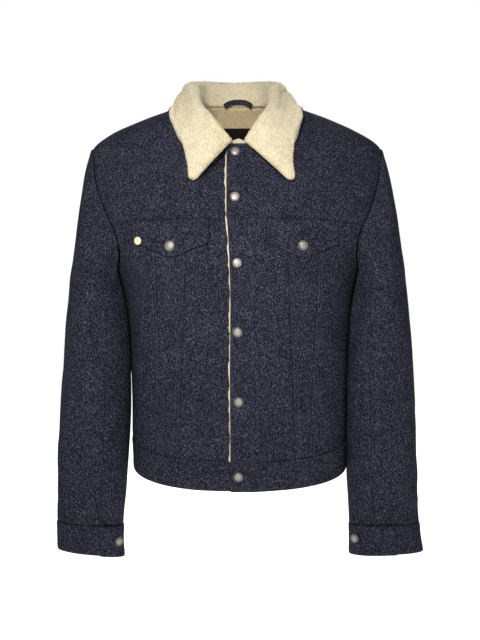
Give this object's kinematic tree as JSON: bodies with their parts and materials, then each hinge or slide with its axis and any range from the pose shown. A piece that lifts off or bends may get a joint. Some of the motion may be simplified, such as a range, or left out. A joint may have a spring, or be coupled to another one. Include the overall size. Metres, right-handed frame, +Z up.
{
  "type": "sherpa lined jacket",
  "caption": "Hip-length snap-front jacket of flecked dark cloth, lined and collared in cream pile, filled out as if worn, with its sleeves hanging.",
  "frame": {"origin": "base of the wearer's neck, in the plane of the shoulder seams, where the jacket is held", "axes": "+X to the wearer's left, -Y to the wearer's front, +Z up"},
  "size_m": [0.59, 0.2837, 0.7677],
  "materials": {
    "flecked_denim": "thick dark blue cloth with pale flecks, matt",
    "cream_pile": "curly cream pile, matt",
    "aged_pewter": "domed caps, dull brown-grey metal",
    "pale_brass": "bright pale yellow metal",
    "dark_label": "smooth dark brown cloth, bare"
  },
  "bodies": {
    "root": {"back_lining": "cream_pile", "back_yoke": "flecked_denim", "centre_back": "flecked_denim", "centre_front_left": "flecked_denim", "centre_front_right": "flecked_denim", "cuff_left": "flecked_denim", "cuff_right": "flecked_denim", "cuff_snap_left": "aged_pewter", "cuff_snap_right": "aged_pewter", "flap_rivet": "pale_brass", "flap_snap_left": "aged_pewter", "flap_snap_right": "aged_pewter", "front_lining_left": "cream_pile", "front_lining_right": "cream_pile", "front_snap_1": "aged_pewter", "front_snap_2": "aged_pewter", "front_snap_3": "aged_pewter", "front_snap_4": "aged_pewter", "front_snap_5": "aged_pewter", "front_snap_6": "aged_pewter", "front_yoke_left": "flecked_denim", "front_yoke_right": "flecked_denim", "hanger_loop": "flecked_denim", "middle_front_left": "flecked_denim", "middle_front_right": "flecked_denim", "neck_label": "dark_label", "pocket_flap_left": "flecked_denim", "pocket_flap_right": "flecked_denim", "side_back_left": "flecked_denim", "side_back_right": "flecked_denim", "side_front_left": "flecked_denim", "side_front_right": "flecked_denim", "top_sleeve_left": "flecked_denim", "top_sleeve_right": "flecked_denim", "under_collar": "flecked_denim", "under_sleeve_left": "flecked_denim", "under_sleeve_right": "flecked_denim", "upper_collar": "cream_pile", "waistband_left": "flecked_denim", "waistband_right": "flecked_denim"}
  },
  "joints": []
}
